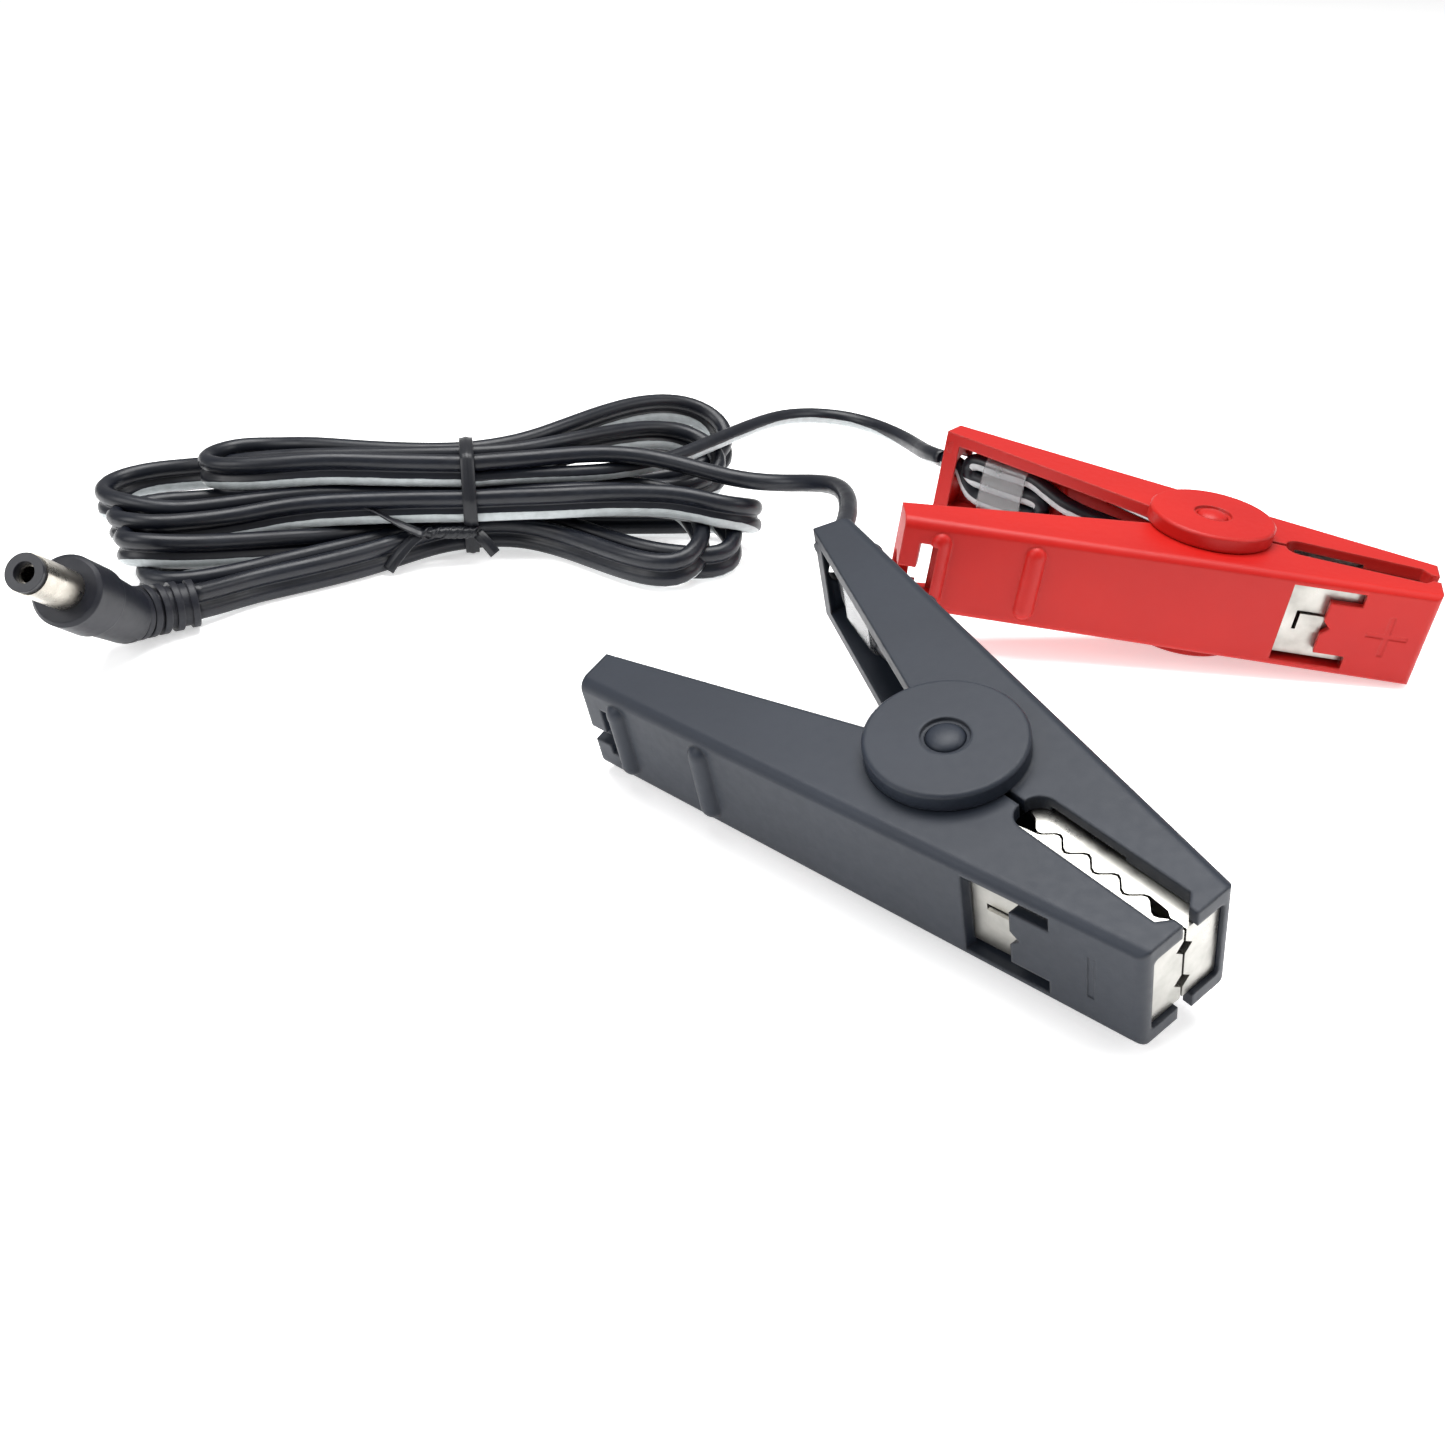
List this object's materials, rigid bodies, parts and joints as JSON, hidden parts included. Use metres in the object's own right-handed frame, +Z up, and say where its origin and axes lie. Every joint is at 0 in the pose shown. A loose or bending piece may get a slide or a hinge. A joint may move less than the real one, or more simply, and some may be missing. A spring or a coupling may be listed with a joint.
{
  "type": "alligator clip lead",
  "caption": "Test lead with two insulated alligator clips, red and black, on striped figure-8 flex tied in a hank, ending in a barrel plug.",
  "frame": {"origin": "on the surface the lead lies on, under the middle of the box round the two clips", "axes": "+Z up; the hank and the plug lie towards -X, the red clip towards +X and +Y, the black clip towards -Y"},
  "size_m": [0.1979, 0.1523, 0.0253],
  "materials": {
    "black_plastic": "fine-textured moulded plastic",
    "red_plastic": "fine-textured moulded plastic",
    "nickel_plate": "nickel-plated pressed steel",
    "spring_wire": "plated spring wire",
    "clear_sleeve": "clear soft plastic",
    "solder": "solder",
    "plug_metal": "nickel-plated brass",
    "plug_plastic": "satin moulded plastic",
    "tie_plastic": "plastic over wire",
    "flex_pvc": "satin plastic sheath, one strand striped pale grey"
  },
  "bodies": {
    "lead": {"black_cable_arm": "black_plastic", "black_cable_jaw": "nickel_plate", "black_pivot_pin": "black_plastic", "black_torsion_spring": "spring_wire", "black_wire_sleeve": "clear_sleeve", "black_wire_end": "flex_pvc", "black_solder_joint": "solder", "red_cable_arm": "red_plastic", "red_cable_jaw": "nickel_plate", "red_pivot_pin": "red_plastic", "red_torsion_spring": "spring_wire", "red_wire_sleeve": "clear_sleeve", "red_wire_end": "flex_pvc", "red_solder_joint": "solder", "plug_body": "plug_plastic", "plug_barrel": "plug_metal", "plug_insulator": "plug_plastic", "plug_contact": "plug_metal", "plug_terminals": "solder", "flex_tail": "flex_pvc", "flex_hank": "flex_pvc", "twist_tie": "tie_plastic", "black_lead": "flex_pvc", "red_lead": "flex_pvc"},
    "black_lever": {"black_lever_arm": "black_plastic", "black_lever_jaw": "nickel_plate"},
    "red_lever": {"red_lever_arm": "red_plastic", "red_lever_jaw": "nickel_plate"}
  },
  "joints": [
    {"name": "black_clip_hinge", "type": "hinge", "parent": "lead", "child": "black_lever", "pos_m": [-0.0177, -0.0321, 0.0112], "axis": [0.1984, 0.1966, -0.9602], "range_deg": [0, 37], "stiffness_Nm_per_rad": 0.12, "springref_deg": -68.75, "deforming": ["black_torsion_spring"]},
    {"name": "red_clip_hinge", "type": "hinge", "parent": "lead", "child": "red_lever", "pos_m": [0.0273, 0.0276, 0.00995], "axis": [-0.0847, 0.0222, -0.9962], "range_deg": [0, 37], "stiffness_Nm_per_rad": 0.12, "springref_deg": -68.75, "deforming": ["red_torsion_spring"]}
  ]
}
